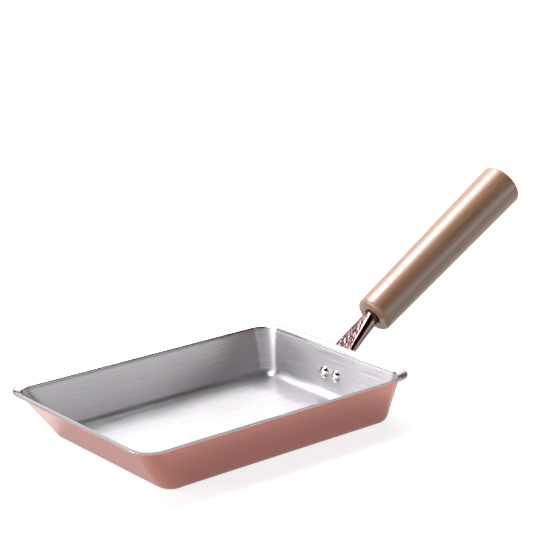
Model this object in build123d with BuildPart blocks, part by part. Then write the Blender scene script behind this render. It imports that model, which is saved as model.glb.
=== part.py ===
"""Tamagoyaki pan: a rectangular omelette pan with a riveted neck and a turned wooden grip.

Origin at the centre of the flat base, +X towards the handle, +Y across, +Z up, millimetres.
"""
import os
from math import asin, atan2, cos, degrees, radians, sin, tan

from build123d import *

# Pan body: the flat base and the four leaning walls, on the outside of the copper
base_length = 153.3
base_width = 104.2
base_corner_radius = 9.2
wall_height = 27.6
wall_corner_radius = 11.0
front_lean = 36.5
handle_lean = 6.6
side_lean = 16.2
copper_thickness = 0.3
steel_thickness = 0.7
base_bend_radius = 6.0

# Rim: how far it reaches past each inner wall, and how far it rises on the way
rim_front_overhang = 4.2
rim_handle_overhang = 5.55
rim_side_overhang = 3.9
rim_rise = 1.2
rim_bend_radius = 1.2
rim_corner_radius = 13.3

# Neck: a round tube at the grip that opens out to a flat-topped flare on the handle wall
neck_tilt = 30.45
neck_height = 23.1
neck_reach = 35.0
neck_sheet = 1.2
tube_radius = 4.6
tube_depth = 48.0
seam_gap = 0.4
flare_width = 19.0
flare_depth = 7.6
flare_shoulder = 32.0
facet_drop = 1.6
apex_width = 0.8
underside_opening = 16.4
plate_width = 22.0
plate_height = 14.8
plate_corner_radius = 3.5

# Rivets: two in a row through the lining, the shell and the neck's plate
rivet_height = 12.9
rivet_spacing = 9.7
rivet_radius = 2.0
rivet_head_radius = 3.6
rivet_head_height = 2.5
rivet_head_edge = 0.3
rivet_tail_radius = 2.9
rivet_tail_height = 1.1
rivet_tail_edge = 0.3

# Grip: turned wood on the tube, drawn up by a long screw from its far end
grip_length = 123.2
grip_front_radius = 11.25
grip_far_radius = 13.3
grip_front_rounding = 2.6
grip_far_rounding = 2.5
bore_clearance = 0.1
bore_chamfer = 0.8
screw_radius = 2.0
screw_clearance = 0.3
screw_head_radius = 3.6
screw_head_height = 2.6
screw_head_edge = 1.2
recess_length = 4.0
recess_width = 0.9
recess_depth = 1.4
screw_sink_radius = 5.0
screw_sink_depth = 13.0
screw_projection = 2.0
washer_radius = 4.5
washer_thickness = 0.8
nut_length = 10.0
thread_clearance = 0.05

# How far every cut runs past what it cuts
overrun = 2.0

sheet = copper_thickness + steel_thickness
rim_slope = degrees(atan2(rim_rise, rim_side_overhang))
bend_sine = sin(radians(side_lean + rim_slope))
bend_drop_share = (sin(radians(side_lean)) + cos(radians(rim_slope))) / (1 + bend_sine)


def wall_reach(lean, inset, height):
    """How far a wall stands out past the base's edge, on the surface set in by inset."""
    return height * tan(radians(lean)) - inset / cos(radians(lean))


def box_outline(front, back, half_width, radius):
    """Rounded rectangle from front to back."""
    with Locations(((front + back) / 2, 0)):
        RectangleRounded(back - front, 2 * half_width, radius)


def wall_outline(inset, height):
    """The body's outline at a height, on the surface set in by inset."""
    grown = (wall_corner_radius - base_corner_radius) * height / wall_height
    box_outline(
        -base_length / 2 - wall_reach(front_lean, inset, height),
        base_length / 2 + wall_reach(handle_lean, inset, height),
        base_width / 2 + wall_reach(side_lean, inset, height),
        base_corner_radius + grown - inset,
    )


def rim_outline():
    """The rim's outer edge, the same for every layer of the sheet."""
    box_outline(
        -base_length / 2 - wall_reach(front_lean, sheet, wall_height) - rim_front_overhang,
        base_length / 2 + wall_reach(handle_lean, sheet, wall_height) + rim_handle_overhang,
        base_width / 2 + wall_reach(side_lean, sheet, wall_height) + rim_side_overhang,
        rim_corner_radius,
    )


def dish(inset, edge):
    """Closed solid under the surface set in by inset: walls, rim and a straight edge above it."""
    left = sheet - inset
    bend_height = wall_height - left * bend_drop_share
    rim_height = wall_height + rim_rise - left / cos(radians(rim_slope))
    with BuildPart() as form:
        with BuildSketch(Plane.XY.offset(inset)):
            wall_outline(inset, inset)
        with BuildSketch(Plane.XY.offset(bend_height)):
            wall_outline(inset, bend_height)
        with BuildSketch(Plane.XY.offset(rim_height)):
            rim_outline()
        loft(ruled=True)
        loops = form.edges().group_by(Axis.Z)
        fillet(loops[0], base_bend_radius - inset)
        fillet(loops[2], rim_bend_radius + left)
        extrude(form.faces().sort_by(Axis.Z)[-1], amount=edge)
    return form.part


def layer(inset, thickness):
    """One layer of the sheet, from the surface at inset inwards, up to its cut edge."""
    with BuildPart() as skin:
        add(dish(inset, thickness / cos(radians(rim_slope))))
        add(dish(inset + thickness, overrun), mode=Mode.SUBTRACT)
    return skin.part


# The outer face of the handle wall, with its origin between the rivets
rivet_plane = Plane(
    origin=(base_length / 2 + wall_reach(handle_lean, 0, rivet_height), 0, rivet_height),
    x_dir=(0, 1, 0),
    z_dir=(cos(radians(handle_lean)), 0, -sin(radians(handle_lean))),
)
rivet_row = GridLocations(rivet_spacing, 0, 2, 1)

# The same face with its origin where the neck's axis comes out of it
flare_plane = Plane(
    origin=(base_length / 2 + wall_reach(handle_lean, 0, neck_height), 0, neck_height),
    x_dir=(0, 1, 0),
    z_dir=rivet_plane.z_dir,
)
axis_direction = Vector(cos(radians(neck_tilt)), 0, sin(radians(neck_tilt)))
wood_face = flare_plane.origin + axis_direction * neck_reach
tube_plane = Plane(origin=wood_face, x_dir=(0, 1, 0), z_dir=axis_direction)
handle_axis = Axis(wood_face, axis_direction)

# The flat top of the flare runs from the top of the tube down to the wall
facet_foot = flare_plane.from_local_coords(Vector(0, -facet_drop, 0))
facet_head = tube_plane.from_local_coords(Vector(0, tube_radius, 0))
facet_run = facet_head - facet_foot
facet_plane = Plane(origin=facet_foot, x_dir=(0, -1, 0), z_dir=facet_run.cross(Vector(0, 1, 0)))
wall_to_facet = facet_run.get_angle(flare_plane.y_dir)

with BuildPart() as copper_shell:
    add(layer(0, copper_thickness))
    with BuildSketch(rivet_plane):
        with rivet_row:
            Circle(rivet_radius)
    extrude(amount=sheet + overrun, both=True, mode=Mode.SUBTRACT)
copper_shell.part.label = "copper_shell"

with BuildPart() as steel_lining:
    add(layer(copper_thickness, steel_thickness))
    with BuildSketch(rivet_plane):
        with rivet_row:
            Circle(rivet_radius)
    extrude(amount=sheet + overrun, both=True, mode=Mode.SUBTRACT)
steel_lining.part.label = "steel_lining"


def end_outline(plane, right_side, left_side):
    """One end of the flare: its two sides and the flat top between them, moved onto a plane."""
    top = Line(left_side @ 1, right_side @ 0)
    return [plane.from_local_coords(edge) for edge in (right_side, left_side, top)]


def flare(wall, top_wall):
    """The flare's solid with its walls taken off: a flat top between two ruled, bulging sides."""
    half_width = flare_width / 2 - wall
    shoulder_sine = sin(radians(flare_shoulder))
    half_depth = (flare_depth - wall - top_wall) / (1 + shoulder_sine)
    centre = (0, -facet_drop - top_wall - half_depth * shoulder_sine)
    turn = -90 - flare_shoulder
    wall_end = end_outline(
        flare_plane,
        EllipticalCenterArc(centre, half_width, half_depth, flare_shoulder, arc_size=turn),
        EllipticalCenterArc(centre, half_width, half_depth, -90, arc_size=turn),
    )
    radius = tube_radius - wall
    half_apex = degrees(asin(apex_width / 2 / radius))
    tube_end = end_outline(
        tube_plane,
        CenterArc((0, 0), radius, 90 - half_apex, half_apex - 180),
        CenterArc((0, 0), radius, -90, half_apex - 180),
    )
    sides = [Face.make_surface_from_curves(edge1=a, edge2=b) for a, b in zip(wall_end, tube_end)]
    return Solid(Shell([Face(Wire(wall_end)), Face(Wire(tube_end)), *sides]))


flare_outside = flare(0, 0)
flare_inside = flare(neck_sheet, neck_sheet / sin(radians(wall_to_facet)))

with BuildPart() as neck_bracket:
    add(flare_outside)
    with BuildSketch(tube_plane):
        Circle(tube_radius)
    extrude(amount=tube_depth)
    add(flare_inside, mode=Mode.SUBTRACT)
    with BuildSketch(tube_plane):
        Circle(tube_radius - neck_sheet)
    extrude(amount=tube_depth, mode=Mode.SUBTRACT)
    # The sheet's two edges meet under the tube and part towards the wall
    with BuildSketch(facet_plane.offset(-2 * neck_sheet)):
        with BuildLine():
            Polyline(
                (-underside_opening / 2, -flare_width),
                (underside_opening / 2, -flare_width),
                (underside_opening / 2, 0),
                (seam_gap / 2, facet_run.length),
                (-seam_gap / 2, facet_run.length),
                (-underside_opening / 2, 0),
                close=True,
            )
        make_face()
    extrude(amount=-flare_width, mode=Mode.SUBTRACT)
    with BuildSketch(tube_plane):
        with Locations((0, -tube_radius)):
            Rectangle(seam_gap, 2 * neck_sheet + seam_gap)
    extrude(amount=tube_depth, mode=Mode.SUBTRACT)
    # The flat top turns down into the plate that is riveted to the wall
    with BuildSketch(flare_plane):
        with Locations((0, -facet_drop)):
            plate_align = (Align.CENTER, Align.MAX)
            RectangleRounded(plate_width, plate_height, plate_corner_radius, align=plate_align)
    extrude(amount=neck_sheet)
    with BuildSketch(rivet_plane):
        with rivet_row:
            Circle(rivet_radius)
    extrude(amount=neck_sheet, mode=Mode.SUBTRACT)
neck_bracket.part.label = "neck_bracket"

# A rivet is turned about its axis: X out through the wall, Y away from the shank
rivet_profile_plane = Plane(origin=rivet_plane.origin, x_dir=rivet_plane.z_dir, z_dir=rivet_plane.x_dir)


def rivet(place):
    """Domed head on the lining, shank through wall and plate, and a tail closed on the plate."""
    head_top = (-sheet - rivet_head_height, 0)
    head_rim = (-sheet - rivet_head_edge, rivet_head_radius)
    tail_rim = (neck_sheet + rivet_tail_edge, rivet_tail_radius)
    tail_top = (neck_sheet + rivet_tail_height, 0)
    with BuildPart() as body:
        with BuildSketch(rivet_profile_plane.offset(place)):
            with BuildLine():
                TangentArc(head_top, head_rim, tangent=(0, 1))
                Polyline(
                    head_rim,
                    (-sheet, rivet_head_radius),
                    (-sheet, rivet_radius),
                    (neck_sheet, rivet_radius),
                    (neck_sheet, rivet_tail_radius),
                    tail_rim,
                )
                TangentArc(tail_top, tail_rim, tangent=(0, 1))
                Line(tail_top, head_top)
            make_face()
        revolve(axis=Axis(rivet_profile_plane.offset(place).origin, rivet_profile_plane.x_dir))
    return body.part


rivets = {"rivet_left": rivet(rivet_spacing / 2), "rivet_right": rivet(-rivet_spacing / 2)}
for name, piece in rivets.items():
    piece.label = name

# The handle's pieces are turned about its axis: X along it from the wood's face, Y outwards
turning_plane = Plane(origin=wood_face, x_dir=axis_direction, z_dir=(0, -1, 0))
bore_radius = tube_radius + bore_clearance
bore_depth = tube_depth + bore_clearance
screw_hole_radius = screw_radius + screw_clearance
sink_floor = grip_length - screw_sink_depth
head_seat = sink_floor + washer_thickness
nut_front = tube_depth - nut_length

with BuildPart() as wooden_grip:
    with BuildSketch(turning_plane) as half_profile:
        with BuildLine():
            Polyline(
                (0, bore_radius + bore_chamfer),
                (0, grip_front_radius),
                (grip_length, grip_far_radius),
                (grip_length, screw_sink_radius),
                (sink_floor, screw_sink_radius),
                (sink_floor, screw_hole_radius),
                (bore_depth, screw_hole_radius),
                (bore_depth, bore_radius),
                (bore_chamfer, bore_radius),
                close=True,
            )
        make_face()
        front_corner = half_profile.vertices().sort_by_distance((0, grip_front_radius))[0]
        fillet(front_corner, grip_front_rounding)
        far_corner = half_profile.vertices().sort_by_distance((grip_length, grip_far_radius))[0]
        fillet(far_corner, grip_far_rounding)
    revolve(axis=handle_axis)
wooden_grip.part.label = "wooden_grip"

with BuildPart() as tang_nut:
    with BuildSketch(tube_plane.offset(nut_front)):
        Circle(tube_radius - neck_sheet)
        Circle(screw_radius + thread_clearance, mode=Mode.SUBTRACT)
    extrude(amount=nut_length)
tang_nut.part.label = "tang_nut"

with BuildPart() as screw_washer:
    with BuildSketch(tube_plane.offset(sink_floor)):
        Circle(washer_radius)
        Circle(screw_hole_radius, mode=Mode.SUBTRACT)
    extrude(amount=washer_thickness)
screw_washer.part.label = "screw_washer"

with BuildPart() as grip_screw:
    with BuildSketch(turning_plane):
        with BuildLine():
            head_edge = (head_seat + screw_head_edge, screw_head_radius)
            Polyline(
                (head_seat + screw_head_height, 0),
                (nut_front - screw_projection, 0),
                (nut_front - screw_projection, screw_radius),
                (head_seat, screw_radius),
                (head_seat, screw_head_radius),
                head_edge,
            )
            TangentArc((head_seat + screw_head_height, 0), head_edge, tangent=(0, 1))
        make_face()
    revolve(axis=handle_axis)
    with BuildSketch(tube_plane.offset(head_seat + screw_head_height)):
        Rectangle(recess_length, recess_width)
        Rectangle(recess_width, recess_length)
    extrude(amount=-recess_depth, mode=Mode.SUBTRACT)
grip_screw.part.label = "grip_screw"

os.makedirs("parts", exist_ok=True)
export_step(copper_shell.part, "parts/copper_shell.step")
export_step(steel_lining.part, "parts/steel_lining.step")
export_step(neck_bracket.part, "parts/neck_bracket.step")
for name, piece in rivets.items():
    export_step(piece, f"parts/{name}.step")
export_step(wooden_grip.part, "parts/wooden_grip.step")
export_step(tang_nut.part, "parts/tang_nut.step")
export_step(screw_washer.part, "parts/screw_washer.step")
export_step(grip_screw.part, "parts/grip_screw.step")
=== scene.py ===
"""Tamagoyaki pan: copper outside, brushed steel inside, a riveted neck and a turned wooden grip."""
from math import cos, pi, radians, sin, tan

import bpy
import numpy as np
from mathutils import Matrix, Vector


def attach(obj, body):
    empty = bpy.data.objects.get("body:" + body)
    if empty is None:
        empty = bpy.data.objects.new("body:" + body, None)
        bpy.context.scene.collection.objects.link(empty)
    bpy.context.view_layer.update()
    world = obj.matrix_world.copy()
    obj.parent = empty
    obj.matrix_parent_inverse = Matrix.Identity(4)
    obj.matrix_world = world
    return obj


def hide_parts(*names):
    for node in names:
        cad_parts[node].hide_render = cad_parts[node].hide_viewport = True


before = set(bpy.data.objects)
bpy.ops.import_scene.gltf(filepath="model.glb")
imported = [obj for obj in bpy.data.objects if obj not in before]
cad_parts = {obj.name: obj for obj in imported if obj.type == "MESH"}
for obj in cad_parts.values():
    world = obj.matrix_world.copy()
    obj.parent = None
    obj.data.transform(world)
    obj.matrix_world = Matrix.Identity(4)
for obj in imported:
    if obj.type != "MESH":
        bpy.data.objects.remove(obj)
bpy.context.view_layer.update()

# ---------------------------------------------------------------------------------------------
# Copper shell: the outer layer of the pan, bonded to the steel and drawn with it from one sheet
# into four walls that lean by different amounts, under a rim that rises outwards. Its skin is
# buffed to a satin and lacquered.

mm = 0.001
base_half_length = 76.65 * mm
base_half_width = 52.1 * mm
base_corner = 9.2 * mm
base_bend = 6.0 * mm
wall_height = 27.6 * mm
wall_corner = 11.0 * mm
front_lean, handle_lean, side_lean = radians(36.5), radians(6.6), radians(16.2)
rim_front, rim_handle, rim_side = 4.2 * mm, 5.55 * mm, 3.9 * mm
rim_rise = 1.2 * mm
rim_bend = 1.2 * mm
rim_corner = 13.3 * mm
sheet = 1.0 * mm
copper_layer = 0.3 * mm
rim_slope = np.arctan2(rim_rise, rim_side)
corner_steps = 20
bend_steps = 10
wall_steps = 5
sheet_sharp_angle = radians(50)
weld_distance = 0.001 * mm
streak_length = 50 / 3 * mm
streak_width = 0.4 * mm


def srgb(code):
    """Linear colour, with alpha, of an sRGB hex code."""
    channels = [int(code[i:i + 2], 16) / 255 for i in (1, 3, 5)]
    return [c / 12.92 if c <= 0.04045 else ((c + 0.055) / 1.055) ** 2.4 for c in channels] + [1.0]


def add(tree, kind, inputs=None, **settings):
    """Add a node with its properties and inputs: values, sockets, or nodes for their output."""
    made = tree.nodes.new(kind)
    for name, value in settings.items():
        setattr(made, name, value)
    for name, value in (inputs or {}).items():
        socket = next(s for i, s in enumerate(made.inputs) if s.enabled and name in (i, s.name))
        if isinstance(value, bpy.types.Node):
            value = next(s for s in value.outputs if s.enabled)
        if isinstance(value, bpy.types.NodeSocket):
            tree.links.new(value, socket)
        else:
            socket.default_value = value
    return made


def empty_material(name):
    """A new material with no nodes, and its node tree."""
    material = bpy.data.materials.new(name)
    material.use_nodes = True
    material.node_tree.nodes.clear()
    return material, material.node_tree


def finish_of(name, look):
    """A new material, its node tree and its principled shader with the inputs in look."""
    material, tree = empty_material(name)
    shader = add(tree, "ShaderNodeBsdfPrincipled", look)
    add(tree, "ShaderNodeOutputMaterial", {"Surface": shader.outputs["BSDF"]})
    return material, tree, shader


def put_in_scene(name, data):
    """A new object at the origin."""
    made = bpy.data.objects.new(name, data)
    bpy.context.collection.objects.link(made)
    return made


def apply_modifiers(piece):
    """Give a piece the plain mesh that its modifiers make, and take them off."""
    evaluated = piece.evaluated_get(bpy.context.evaluated_depsgraph_get())
    plain = bpy.data.meshes.new_from_object(evaluated)
    piece.modifiers.clear()
    piece.data = plain


def rounded_outline(front, back, side, radius, height):
    """One level of the pan: a rounded rectangle, anticlockwise from the handle's far corner."""
    points = []
    for turn, (x, y) in enumerate(
        [(back - radius, side - radius), (-front + radius, side - radius),
         (-front + radius, radius - side), (back - radius, radius - side)]
    ):
        for angle in turn * pi / 2 + np.linspace(0, pi / 2, corner_steps + 1):
            points.append((x + radius * cos(angle), y + radius * sin(angle), height))
    return np.array(points)


def wall_level(inset, height):
    """The pan's outline at a height, on the surface that lies inset from the copper's skin."""
    def reach(lean):
        return height * tan(lean) - inset / cos(lean)

    radius = base_corner + (wall_corner - base_corner) * height / wall_height - inset
    return rounded_outline(
        base_half_length + reach(front_lean), base_half_length + reach(handle_lean),
        base_half_width + reach(side_lean), radius, height,
    )


def rounded_corner(before, corner, after, radius):
    """Points of the arc that rounds each column's corner between two straight runs."""
    to_before = before - corner
    to_before /= np.linalg.norm(to_before, axis=1)[:, None]
    to_after = after - corner
    to_after /= np.linalg.norm(to_after, axis=1)[:, None]
    half = np.arccos(np.clip((to_before * to_after).sum(1), -1, 1))[:, None] / 2
    middle = to_before + to_after
    middle /= np.linalg.norm(middle, axis=1)[:, None]
    centre = corner + middle * radius / np.sin(half)
    start = corner + to_before * radius / np.tan(half) - centre
    end = corner + to_after * radius / np.tan(half) - centre
    sweep = pi - 2 * half
    return [
        centre + (start * np.sin((1 - s) * sweep) + end * np.sin(s * sweep)) / np.sin(sweep)
        for s in np.linspace(0, 1, bend_steps + 1)
    ]


def pan_surface(inset):
    """Rows of points from the flat base up the walls and out over the rim."""
    left = sheet - inset
    bend_share = (sin(side_lean) + cos(rim_slope)) / (1 + sin(side_lean + rim_slope))
    foot = wall_level(inset, inset)
    bend = wall_level(inset, wall_height - left * bend_share)
    edge = rounded_outline(
        base_half_length + wall_height * tan(front_lean) - sheet / cos(front_lean) + rim_front,
        base_half_length + wall_height * tan(handle_lean) - sheet / cos(handle_lean) + rim_handle,
        base_half_width + wall_height * tan(side_lean) - sheet / cos(side_lean) + rim_side,
        rim_corner, wall_height + rim_rise - left / cos(rim_slope),
    )
    turns = np.repeat(np.arange(4) * pi / 2, corner_steps + 1)
    turns += np.tile(np.linspace(0, pi / 2, corner_steps + 1), 4)
    inward = foot - base_corner * np.stack([np.cos(turns), np.sin(turns), 0 * turns], 1)
    floor_bend = rounded_corner(inward, foot, bend, base_bend - inset)
    top_bend = rounded_corner(foot, bend, edge, rim_bend + left)
    shares = np.linspace(0, 1, wall_steps + 1)[1:-1]
    walls = [floor_bend[-1] * (1 - s) + top_bend[0] * s for s in shares]
    return np.array(floor_bend + walls + top_bend + [edge])


def pan_layer(name, inset, thickness):
    """One layer of the sheet as a closed mesh, with a UV map in metres along and up the walls."""
    below, above = pan_surface(inset), pan_surface(inset + thickness)
    rows = np.concatenate([below, above[::-1]])
    columns = rows.shape[1]
    joined = np.roll(np.arange(columns), -1)
    faces = [list(range(columns))[::-1]]
    for row in range(len(rows) - 1):
        low, high = row * columns, (row + 1) * columns
        for column in range(columns):
            beside = joined[column]
            faces.append([low + column, low + beside, high + beside, high + column])
    faces.append([(len(rows) - 1) * columns + i for i in range(columns)])
    mesh = bpy.data.meshes.new(name)
    mesh.from_pydata(rows.reshape(-1, 3).tolist(), [], faces)

    around = np.concatenate([[0], np.cumsum(np.linalg.norm(np.diff(below[-1], axis=0), axis=1))])
    closing = around[-1] + np.linalg.norm(below[-1][0] - below[-1][-1])
    up = np.concatenate([[0], np.cumsum(np.linalg.norm(np.diff(rows, axis=0), axis=2).mean(1))])
    uv_map = mesh.uv_layers.new(name="sheet")
    for face in mesh.polygons:
        for loop in face.loop_indices:
            vertex = mesh.loops[loop].vertex_index
            row, column = divmod(vertex, columns)
            if len(face.vertices) > 4:
                uv_map.data[loop].uv = rows[row, column, :2]
            else:
                wraps = column == 0 and max(v % columns for v in face.vertices) == columns - 1
                uv_map.data[loop].uv = (closing if wraps else around[column], up[row])
    return put_in_scene(name, mesh)


def smooth(piece, sharp_angle, edge_width=None):
    """Round the sharp edges if a width is given, smooth the rest, and apply it to the mesh."""
    if edge_width:
        bevel = piece.modifiers.new("edges", "BEVEL")
        bevel.limit_method = "ANGLE"
        bevel.angle_limit = sharp_angle
        bevel.width = edge_width
        bevel.segments = 3
    piece.data.set_sharp_from_angle(angle=sharp_angle)
    weighted = piece.modifiers.new("normals", "WEIGHTED_NORMAL")
    weighted.mode = "FACE_AREA"
    weighted.weight = 100
    weighted.keep_sharp = not edge_width
    apply_modifiers(piece)
    piece.data.polygons.foreach_set("use_smooth", [True] * len(piece.data.polygons))


# Lacquered satin copper: soft, slightly streaked reflections in salmon pink. The streaks are
# coarser than a buffing wheel leaves, so that they show.
copper, tree, shader = finish_of("satin copper", {
    "Metallic": 1.0, "Roughness": 0.33, "Coat Weight": 1.0, "Coat Roughness": 0.25,
})
place = add(tree, "ShaderNodeUVMap", uv_map="sheet")
streaks = add(tree, "ShaderNodeMapping", {
    "Vector": place.outputs["UV"], "Scale": (1 / streak_length, 1 / streak_width, 1),
})
polish = add(tree, "ShaderNodeTexNoise", {
    "Vector": streaks.outputs["Vector"], "Scale": 1.0, "Detail": 3.0,
})
tone = add(tree, "ShaderNodeMix", {
    "Factor": polish, "A": srgb("#D48C7E"), "B": srgb("#DC9689"),
}, data_type="RGBA")
tree.links.new(tone.outputs[2], shader.inputs["Base Color"])

copper_shell = pan_layer("copper_shell_sheet", 0, copper_layer)
smooth(copper_shell, sheet_sharp_angle)
copper_shell.data.materials.append(copper)
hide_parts("copper_shell")
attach(copper_shell, "root")

# ---------------------------------------------------------------------------------------------
# Steel lining: the inner layer, stainless steel that shows over the whole inside, on top of the
# rim and at its cut edge. It is brushed along the floor and around the walls.

cut_edge_rounding = 0.2 * mm
hairline_length = 100 / 3 * mm
hairline_width = 1 / 3.6 * mm
swell_length = 100 / 3 * mm
swell_width = 500 / 3 * mm
swell_depth = 0.5 * mm
shoulder_depth = 0.3 * mm
shoulder_start = wall_height - 2.2 * mm
polish_start = wall_height - 0.9 * mm
bend_start = wall_height - 0.6 * mm
polished_share = 0.4
grinding_and_shade_start, grinding_and_shade_end = wall_height + 1.02 * mm, wall_height + 1.12 * mm
ground_roughness = 0.7

# Brushed stainless steel: hairlines along the sheet that spread each reflection across them,
# drawn several times coarser than real so that they show. The rim is polished smoother, its cut
# edge and the rim's outer edge are rough from grinding, with a painted shade line in darker steel
# there, and the walls swell a little and roll over just under the rim.
brushed_steel, tree, shader = finish_of("brushed stainless steel", {
    "Metallic": 1.0, "Anisotropic": 0.8, "Anisotropic Rotation": 0.25,
})
sheet_map = add(tree, "ShaderNodeUVMap", uv_map="sheet")
hairs = add(tree, "ShaderNodeMapping", {
    "Vector": sheet_map.outputs["UV"], "Scale": (1 / hairline_length, 1 / hairline_width, 1),
})
hairlines = add(tree, "ShaderNodeTexNoise", {
    "Vector": hairs.outputs["Vector"], "Scale": 1.0, "Detail": 3.0,
})
hairlines = add(tree, "ShaderNodeMapRange", {
    "Value": hairlines, "From Min": 0.35, "From Max": 0.65,
}).outputs["Result"]
tone = add(tree, "ShaderNodeMix", {
    "Factor": hairlines, "A": srgb("#B4B1B5"), "B": srgb("#D6D4D7"),
}, data_type="RGBA")
rough = add(tree, "ShaderNodeMapRange", {
    "Value": hairlines, "To Min": 0.36, "To Max": 0.50,
})
place = add(tree, "ShaderNodeTexCoord")
level = add(tree, "ShaderNodeSeparateXYZ", {"Vector": place.outputs["Object"]})
# Painted shade: over the rim's outer edge and the top of its cut edge the steel's colour darkens to
# #7C7A7E. This is a painted dark line for the shade that a curving edge shows. The same band is
# also made rougher from grinding.
grinding_and_shade = add(tree, "ShaderNodeMapRange", {
    "Value": level.outputs["Z"], "From Min": grinding_and_shade_start, "From Max": grinding_and_shade_end,
})
tone = add(tree, "ShaderNodeMix", {
    "Factor": grinding_and_shade.outputs["Result"], "A": tone.outputs[2], "B": srgb("#7C7A7E"),
}, data_type="RGBA")
tree.links.new(tone.outputs[2], shader.inputs["Base Color"])
polished = add(tree, "ShaderNodeMapRange", {
    "Value": level.outputs["Z"], "From Min": polish_start, "From Max": bend_start,
    "To Min": 1.0, "To Max": polished_share,
})
rough = add(tree, "ShaderNodeMath", {
    0: rough.outputs["Result"], 1: polished.outputs["Result"],
}, operation="MULTIPLY")
dull = add(tree, "ShaderNodeMath", {
    0: grinding_and_shade.outputs["Result"], 1: ground_roughness,
}, operation="MULTIPLY")
rough = add(tree, "ShaderNodeMath", {0: rough.outputs[0], 1: dull.outputs[0]}, operation="MAXIMUM")
tree.links.new(rough.outputs[0], shader.inputs["Roughness"])
swell = add(tree, "ShaderNodeMapping", {
    "Vector": sheet_map.outputs["UV"], "Scale": (1 / swell_length, 1 / swell_width, 1),
})
swell = add(tree, "ShaderNodeTexNoise", {
    "Vector": swell.outputs["Vector"], "Scale": 1.0, "Detail": 0.0,
})
bump = add(tree, "ShaderNodeBump", {"Height": swell, "Strength": 1.0, "Distance": swell_depth})
shoulder = add(tree, "ShaderNodeMapRange", {
    "Value": level.outputs["Z"], "From Min": shoulder_start, "From Max": bend_start,
})
shoulder = add(tree, "ShaderNodeMath", {0: shoulder.outputs["Result"], 1: 2.0}, operation="POWER")
bump = add(tree, "ShaderNodeBump", {
    "Height": shoulder.outputs[0], "Strength": 1.0, "Distance": shoulder_depth,
    "Normal": bump.outputs["Normal"],
}, invert=True)
tree.links.new(bump.outputs["Normal"], shader.inputs["Normal"])
grain = add(tree, "ShaderNodeTangent", direction_type="UV_MAP", uv_map="sheet")
tree.links.new(grain.outputs["Tangent"], shader.inputs["Tangent"])

lining = pan_layer("steel_lining_sheet", copper_layer, sheet - copper_layer)
smooth(lining, sheet_sharp_angle, edge_width=cut_edge_rounding)
lining.data.materials.append(brushed_steel)
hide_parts("steel_lining")
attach(lining, "root")

# ---------------------------------------------------------------------------------------------
# Neck: one piece of formed sheet, copper-plated. Its plate is riveted to the handle wall, its
# flat top widens towards the wall, and its tube runs up into the grip.

neck_tilt = radians(30.45)
neck_height = 23.1 * mm
neck_reach = 35.0 * mm
neck_sharp_angle = radians(14)
flat_top_rise = radians(9)
flat_top_cosine = 0.995
dent_size = 5 / 3 * mm
dent_depth = 0.2 * mm

# Bright copper plate: a brownish pink mirror, broken up by small hammer dents on the flat top
copper_plate, tree, shader = finish_of("bright copper plate", {
    "Base Color": srgb("#7A6262"), "Metallic": 1.0, "Roughness": 0.12,
})
place = add(tree, "ShaderNodeTexCoord")
dents = add(tree, "ShaderNodeTexNoise", {
    "Vector": place.outputs["Object"], "Scale": 1 / dent_size, "Detail": 2.0,
})
hammered = add(tree, "ShaderNodeAttribute", attribute_name="hammered")
bump = add(tree, "ShaderNodeBump", {
    "Height": dents, "Strength": hammered.outputs["Fac"], "Distance": dent_depth,
})
tree.links.new(bump.outputs["Normal"], shader.inputs["Normal"])

neck = put_in_scene("formed_neck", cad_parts["neck_bracket"].data.copy())
weld = neck.modifiers.new("weld", "WELD")
weld.merge_threshold = weld_distance
apply_modifiers(neck)
smooth(neck, neck_sharp_angle)
slope = neck_tilt + flat_top_rise
flat_top = Vector((-sin(slope), 0, cos(slope)))
marks = neck.data.attributes.new("hammered", "FLOAT", "FACE")
for face in neck.data.polygons:
    marks.data[face.index].value = float(face.normal.dot(flat_top) > flat_top_cosine)
neck.data.materials.clear()
neck.data.materials.append(copper_plate)
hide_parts("neck_bracket")
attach(neck, "root")

# ---------------------------------------------------------------------------------------------
# Rivets: two in a row, nickel-plated steel. Each has a wide domed head inside the pan and a
# tail that is closed on the neck's plate.

rivet_height = 12.9 * mm
rivet_spacing = 9.7 * mm
plate_sheet = 1.2 * mm
shank_radius = 2.0 * mm
head_radius, head_height = 3.6 * mm, 2.5 * mm
tail_radius, tail_height = 2.9 * mm, 1.1 * mm
dome_edge = 0.3 * mm
dome_steps = 9
rivet_segments = 48
rivet_sharp_angle, rivet_rounding = radians(40), 0.1 * mm


def turned(name, profile, copies, spacing, segments, material):
    """Turn a profile of (along, out) points about X, in a row of copies along Y."""
    group = bpy.data.node_groups.get("turned pieces") or turning_tree()
    mesh = bpy.data.meshes.new(name)
    mesh.from_pydata([(x, r, 0) for x, r in profile], [], [])
    piece = put_in_scene(name, mesh)
    modifier = piece.modifiers.new("turned", "NODES")
    modifier.node_group = group
    values = {"Copies": copies, "Spacing": spacing, "Segments": segments, "Material": material}
    for item in group.interface.items_tree:
        if item.item_type == "SOCKET" and item.name in values:
            modifier[item.identifier] = values[item.name]
    apply_modifiers(piece)
    return piece


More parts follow.
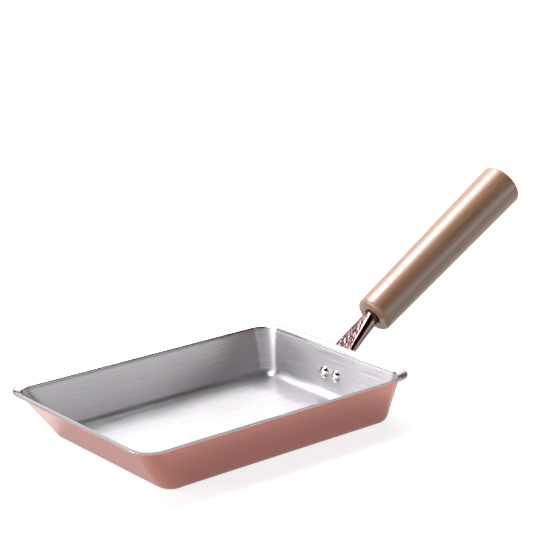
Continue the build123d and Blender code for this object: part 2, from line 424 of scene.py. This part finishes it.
def turning_tree():
    """The node tree that turns a profile: a grid of profile points by angles, then closed."""
    group = bpy.data.node_groups.new("turned pieces", "GeometryNodeTree")
    sockets = [
        ("Geometry", "NodeSocketGeometry"), ("Copies", "NodeSocketInt"),
        ("Spacing", "NodeSocketFloat"), ("Segments", "NodeSocketInt"),
        ("Material", "NodeSocketMaterial"),
    ]
    for name, kind in sockets:
        group.interface.new_socket(name, in_out="INPUT", socket_type=kind)
    group.interface.new_socket("Geometry", in_out="OUTPUT", socket_type="NodeSocketGeometry")
    given = add(group, "NodeGroupInput").outputs
    size = add(group, "GeometryNodeAttributeDomainSize", {"Geometry": given["Geometry"]})
    around = add(group, "ShaderNodeMath", {0: given["Segments"], 1: 1.0}, operation="ADD")
    grid = add(group, "GeometryNodeMeshGrid", {
        "Vertices X": size.outputs["Point Count"], "Vertices Y": around.outputs[0],
    })
    index = add(group, "GeometryNodeInputIndex").outputs[0]
    ring = add(group, "ShaderNodeMath", {0: index, 1: around.outputs[0]}, operation="DIVIDE")
    row = add(group, "ShaderNodeMath", {0: ring.outputs[0]}, operation="FLOOR")
    step = add(group, "ShaderNodeMath", {0: index, 1: around.outputs[0]}, operation="MODULO")
    point = add(group, "GeometryNodeSampleIndex", {
        "Geometry": given["Geometry"], "Value": add(group, "GeometryNodeInputPosition").outputs[0],
        "Index": row.outputs[0],
    }, data_type="FLOAT_VECTOR")
    turn = add(group, "ShaderNodeMath", {
        0: step.outputs[0], 1: given["Segments"],
    }, operation="DIVIDE")
    angle = add(group, "ShaderNodeMath", {0: turn.outputs[0], 1: 2 * pi}, operation="MULTIPLY")
    spun = add(group, "ShaderNodeVectorRotate", {
        "Vector": point.outputs[0], "Angle": angle.outputs[0],
    }, rotation_type="X_AXIS")
    shape = add(group, "GeometryNodeSetPosition", {
        "Geometry": grid.outputs["Mesh"], "Position": spun.outputs[0],
    })
    closed = add(group, "GeometryNodeMergeByDistance", {
        "Geometry": shape.outputs[0], "Distance": weld_distance,
    })
    soft = add(group, "GeometryNodeSetShadeSmooth", {"Geometry": closed.outputs[0]})
    span = add(group, "ShaderNodeMath", {0: given["Copies"], 1: -1.0}, operation="ADD")
    reach = add(group, "ShaderNodeMath", {
        0: span.outputs[0], 1: given["Spacing"],
    }, operation="MULTIPLY")
    start = add(group, "ShaderNodeMath", {0: reach.outputs[0], 1: -0.5}, operation="MULTIPLY")
    corner = add(group, "ShaderNodeCombineXYZ", {"Y": start.outputs[0]})
    pitch = add(group, "ShaderNodeCombineXYZ", {"Y": given["Spacing"]})
    places = add(group, "GeometryNodeMeshLine", {
        "Count": given["Copies"], "Start Location": corner.outputs[0], "Offset": pitch.outputs[0],
    }, mode="OFFSET")
    copies = add(group, "GeometryNodeInstanceOnPoints", {
        "Points": places.outputs[0], "Instance": soft.outputs[0],
    })
    real = add(group, "GeometryNodeRealizeInstances", {"Geometry": copies.outputs[0]})
    painted = add(group, "GeometryNodeSetMaterial", {
        "Geometry": real.outputs[0], "Material": given["Material"],
    })
    add(group, "NodeGroupOutput", {"Geometry": painted.outputs[0]})
    return group


# Polished nickel plate: a clean mirror, faintly warm
nickel = finish_of("polished nickel plate", {
    "Base Color": srgb("#DEDBD6"), "Metallic": 1.0, "Roughness": 0.1,
})[0]


def dome(base, rim_out, height, side):
    """Profile of a domed head from its middle to its rim: an arc on a short straight edge."""
    rise = height - dome_edge
    radius = (rim_out ** 2 + rise ** 2) / (2 * rise)
    full = np.arcsin(rim_out / radius)
    return [
        (base + side * (height - radius * (1 - cos(a))), radius * sin(a))
        for a in np.linspace(0, full, dome_steps + 1)
    ]


rivet_profile = dome(-sheet, head_radius, head_height, -1)
rivet_profile += [
    (-sheet, head_radius), (-sheet, shank_radius),
    (plate_sheet, shank_radius), (plate_sheet, tail_radius),
]
rivet_profile += dome(plate_sheet, tail_radius, tail_height, 1)[::-1]
rivets = turned("rivets", rivet_profile, 2, rivet_spacing, rivet_segments, nickel)
out_of_wall = Vector((cos(handle_lean), 0, -sin(handle_lean)))
rivet_row = Vector((base_half_length + rivet_height * tan(handle_lean), 0, rivet_height))
along = Matrix((out_of_wall, (0, 1, 0), out_of_wall.cross((0, 1, 0)))).transposed().to_4x4()
rivets.data.transform(Matrix.Translation(rivet_row) @ along)
smooth(rivets, rivet_sharp_angle, edge_width=rivet_rounding)
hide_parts("rivet_left", "rivet_right")
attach(rivets, "root")

# ---------------------------------------------------------------------------------------------
# Grip: one turned piece of pale wood on the neck's tube, slightly thicker at its far end, with
# both ends rounded over, sanded and clear lacquered. It is bored right through.

grip_length = 123.2 * mm
front_radius, far_radius = 11.25 * mm, 13.3 * mm
front_rounding, far_rounding = 2.6 * mm, 2.5 * mm
bore_radius, bore_chamfer, bore_depth = 4.7 * mm, 0.8 * mm, 48.1 * mm
screw_hole = 2.3 * mm
sink_radius, sink_depth = 5.0 * mm, 13.0 * mm
rounding_taper = 0.04 * mm
rounding_steps = 8
grip_segments = 96
grip_sharp_angle = radians(40)
ray_length, ray_width = 30 * mm, 0.9 * mm


def rounding(along_from, out_from, along_to, out_to):
    """A quarter turn between two points of a profile, leaving the first one square to the axis."""
    return [
        (
            along_from + (along_to - along_from) * (1 - cos(a)),
            out_from + (out_to - out_from) * sin(a),
        )
        for a in np.linspace(0, pi / 2, rounding_steps + 1)
    ]


grip_profile = [(0, bore_radius + bore_chamfer)]
grip_profile += rounding(
    0, front_radius - front_rounding, front_rounding, front_radius + rounding_taper
)
grip_profile += rounding(
    grip_length, far_radius - far_rounding, grip_length - far_rounding, far_radius - rounding_taper
)[::-1]
grip_profile += [
    (grip_length, sink_radius), (grip_length - sink_depth, sink_radius),
    (grip_length - sink_depth, screw_hole), (bore_depth, screw_hole),
    (bore_depth, bore_radius), (bore_chamfer, bore_radius), (0, bore_radius + bore_chamfer),
]

# Lacquered beech: warm tan with fine darker rays along the grain under a clear satin coat. The
# coat's IOR is above a lacquer's 1.5, for the bright highlight that the photograph shows.
beech, tree, shader = finish_of("lacquered beech", {
    "Roughness": 0.5, "Specular IOR Level": 0.2,
    "Coat Weight": 1.0, "Coat Roughness": 0.36, "Coat IOR": 1.8,
})
place = add(tree, "ShaderNodeTexCoord")
lengthways = add(tree, "ShaderNodeMapping", {
    "Vector": place.outputs["Object"], "Rotation": (0, -neck_tilt, 0),
    "Scale": (ray_length, ray_width, ray_width),
}, vector_type="TEXTURE")
fibres = add(tree, "ShaderNodeTexNoise", {
    "Vector": lengthways.outputs["Vector"], "Scale": 1.0, "Detail": 4.0,
})
tone = add(tree, "ShaderNodeMix", {
    "Factor": fibres, "A": srgb("#755039"), "B": srgb("#A67C5F"),
}, data_type="RGBA")
tree.links.new(tone.outputs[2], shader.inputs["Base Color"])

grip = turned("turned_grip", grip_profile, 1, 0.0, grip_segments, beech)
along_grip = Vector((cos(neck_tilt), 0, sin(neck_tilt)))
wall_axis = Vector((base_half_length + neck_height * tan(handle_lean), 0, neck_height))
wood_face = wall_axis + along_grip * neck_reach
turned_up = Matrix((along_grip, (0, 1, 0), along_grip.cross((0, 1, 0)))).transposed().to_4x4()
grip.data.transform(Matrix.Translation(wood_face) @ turned_up)
smooth(grip, grip_sharp_angle)
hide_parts("wooden_grip")
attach(grip, "root")

# ---------------------------------------------------------------------------------------------
# Fixing: a long screw from the far end of the grip, with a washer on the floor of its sink and
# a plug in the tube to hold it. All three are zinc-plated steel and lie inside the wood.

spangle_size = 10 / 9 * mm

# Zinc plate: pale bluish grey, softly mottled
zinc, tree, shader = finish_of("zinc plate", {"Metallic": 1.0, "Roughness": 0.38})
place = add(tree, "ShaderNodeTexCoord")
spangle = add(tree, "ShaderNodeTexNoise", {
    "Vector": place.outputs["Object"], "Scale": 1 / spangle_size, "Detail": 2.0,
})
tone = add(tree, "ShaderNodeMix", {
    "Factor": spangle, "A": srgb("#AEB3B8"), "B": srgb("#C8CCD0"),
}, data_type="RGBA")
tree.links.new(tone.outputs[2], shader.inputs["Base Color"])
for part in ("tang_nut", "grip_screw", "screw_washer"):
    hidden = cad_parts[part]
    hidden.data.materials.clear()
    hidden.data.materials.append(zinc)

# ---------------------------------------------------------------------------------------------
# Studio: a floor and surround that the camera sees as white, soft lights from the left round to
# the back and one low in front, and a dark tent all round, open along most of the horizon and low
# towards the front. Only reflections see the tent.

floor_reach = 4.0
floor_gap = 0.05 * mm
floor_seen, floor_reflected = 0.8, 0.31
surround_strength, backdrop_strength = 0.06, 1.0
light_distance, tent_distance = 2.0, 3.0
panel_step = 15
picture_width = 533
focal_pixels = 1755.5
camera_place = (-0.55670, -0.69834, 0.35128)
camera_dip, camera_turn = radians(16.23), radians(40.03)


def reflected_ray(tree, seen):
    """1 for a ray that a surface has reflected or let through, and 0 for any other."""
    return add(tree, "ShaderNodeMath", {
        0: seen.outputs["Is Glossy Ray"], 1: seen.outputs["Is Transmission Ray"],
    }, operation="MAXIMUM")


floor_corners = [
    (x * floor_reach, y * floor_reach, 0) for x, y in ((-1, -1), (1, -1), (1, 1), (-1, 1))
]
floor_mesh = bpy.data.meshes.new("floor")
floor_mesh.from_pydata(floor_corners, [], [(0, 1, 2, 3)])
floor = put_in_scene("floor", floor_mesh)
floor.location.z = -floor_gap
white_floor, tree = empty_material("white floor")
paper = add(tree, "ShaderNodeBsdfDiffuse", {"Color": srgb("#ACACAC")})
seen = add(tree, "ShaderNodeLightPath")
reflected = add(tree, "ShaderNodeMath", {
    0: reflected_ray(tree, seen), 1: floor_reflected,
}, operation="MULTIPLY")
level = add(tree, "ShaderNodeMath", {
    0: seen.outputs["Is Camera Ray"], 1: floor_seen, 2: reflected.outputs[0],
}, operation="MULTIPLY_ADD")
glow = add(tree, "ShaderNodeEmission", {"Color": (1, 1, 1, 1), "Strength": level.outputs[0]})
both = add(tree, "ShaderNodeAddShader", {0: paper.outputs[0], 1: glow.outputs[0]})
add(tree, "ShaderNodeOutputMaterial", {"Surface": both.outputs[0]})
floor_mesh.materials.append(white_floor)

world = bpy.data.worlds.new("studio")
world.use_nodes = True
tree = world.node_tree
tree.nodes.clear()
seen = add(tree, "ShaderNodeLightPath")
surround = add(tree, "ShaderNodeBackground", {
    "Color": (1, 1, 1, 1), "Strength": surround_strength,
})
backdrop = add(tree, "ShaderNodeBackground", {
    "Color": (1, 1, 1, 1), "Strength": backdrop_strength,
})
white = add(tree, "ShaderNodeMath", {
    0: seen.outputs["Is Camera Ray"], 1: reflected_ray(tree, seen),
}, operation="MAXIMUM")
shown = add(tree, "ShaderNodeMixShader", {
    0: white.outputs[0], 1: surround.outputs[0], 2: backdrop.outputs[0],
})
add(tree, "ShaderNodeOutputWorld", {"Surface": shown.outputs[0]})
bpy.context.scene.world = world


def seen_from_pan(azimuth, elevation, distance):
    """A place in the studio by its direction from the pan, azimuth from the handle's side."""
    a, e = radians(azimuth), radians(elevation)
    return Vector((cos(a) * cos(e), sin(a) * cos(e), sin(e))) * distance


def softbox(name, azimuth, elevation, width, height, power):
    """A rectangular soft light, turned to face the pan."""
    lamp = bpy.data.lights.new(name, "AREA")
    lamp.shape = "RECTANGLE"
    lamp.size, lamp.size_y = width, height
    lamp.energy = power
    stand = put_in_scene(name, lamp)
    stand.location = seen_from_pan(azimuth, elevation, light_distance)
    stand.rotation_euler = (-stand.location).to_track_quat("-Z", "Y").to_euler()


softbox("key light", 156, 15, 1.07, 1.07, 24)
softbox("left light", 180, 15, 1.07, 1.07, 9.0)
softbox("side light", 140, 39, 1.35, 0.63, 6.5)
softbox("back light", 38, 40, 0.9, 0.36, 6.7)
softbox("low back light", 62, 30, 1.2, 0.6, 4.2)
softbox("high back light", 67, 58, 1.78, 0.7, 16.9)
softbox("overhead light", 105, 66, 1.0, 1.15, 42)
softbox("front light", 308, 8, 1.2, 0.4, 3.3)

corners, panels = [], []
for azimuth in range(0, 360, panel_step):
    for elevation in range(0, 90, panel_step):
        horizon = elevation < panel_step and azimuth not in (15, 30)
        to_the_front = azimuth in (195, 210, 225, 240, 270, 285) and elevation < 2 * panel_step
        if horizon or to_the_front:
            continue
        panels.append(range(len(corners), len(corners) + 4))
        for a, e in ((0, 0), (panel_step, 0), (panel_step, panel_step), (0, panel_step)):
            corners.append(seen_from_pan(azimuth + a, elevation + e, tent_distance))
tent_mesh = bpy.data.meshes.new("dark tent")
tent_mesh.from_pydata(corners, [], panels)
cloth, tree = empty_material("black cloth")
matt = add(tree, "ShaderNodeBsdfDiffuse", {"Color": srgb("#303030")})
add(tree, "ShaderNodeOutputMaterial", {"Surface": matt.outputs[0]})
tent_mesh.materials.append(cloth)
tent = put_in_scene("dark tent", tent_mesh)
tent.visible_camera = tent.visible_diffuse = tent.visible_shadow = False

# The camera stands where the photograph's perspective puts it
camera = bpy.data.cameras.new("camera")
camera.sensor_width = 36.0
camera.lens = focal_pixels / picture_width * camera.sensor_width
tripod = put_in_scene("camera", camera)
tripod.location = camera_place
tripod.rotation_euler = (pi / 2 - camera_dip, 0, -camera_turn)
bpy.context.scene.camera = tripod
bpy.context.scene.view_settings.view_transform = "Standard"
